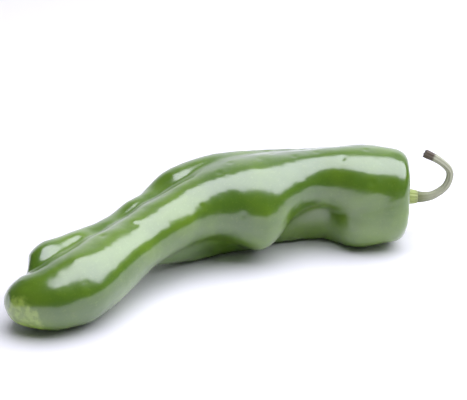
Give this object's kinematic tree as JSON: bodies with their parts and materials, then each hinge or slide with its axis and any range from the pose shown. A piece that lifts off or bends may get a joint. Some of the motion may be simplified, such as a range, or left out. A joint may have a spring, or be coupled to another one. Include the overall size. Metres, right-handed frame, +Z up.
{
  "type": "sweet pepper",
  "caption": "Long curved green sweet pepper lying on its side, with a lobed pod, a small calyx and a curled stem; food prop.",
  "frame": {"origin": "on the surface the pepper lies on, under the middle of its bounding box", "axes": "+X along the pod from its tip to its stem, +Z up, -Y towards the hollow side of its bend"},
  "size_m": [0.2112, 0.0672, 0.0466],
  "materials": {
    "skin": "waxy glossy fruit skin, mid green, paler at the blossom end",
    "calyx": "pale yellow-green, satin, faintly ribbed",
    "stem": "dull olive-grey, fine lengthwise fibres, brown dry cut end"
  },
  "bodies": {
    "root": {"pod": "skin", "calyx": "calyx", "stem": "stem"}
  },
  "joints": []
}
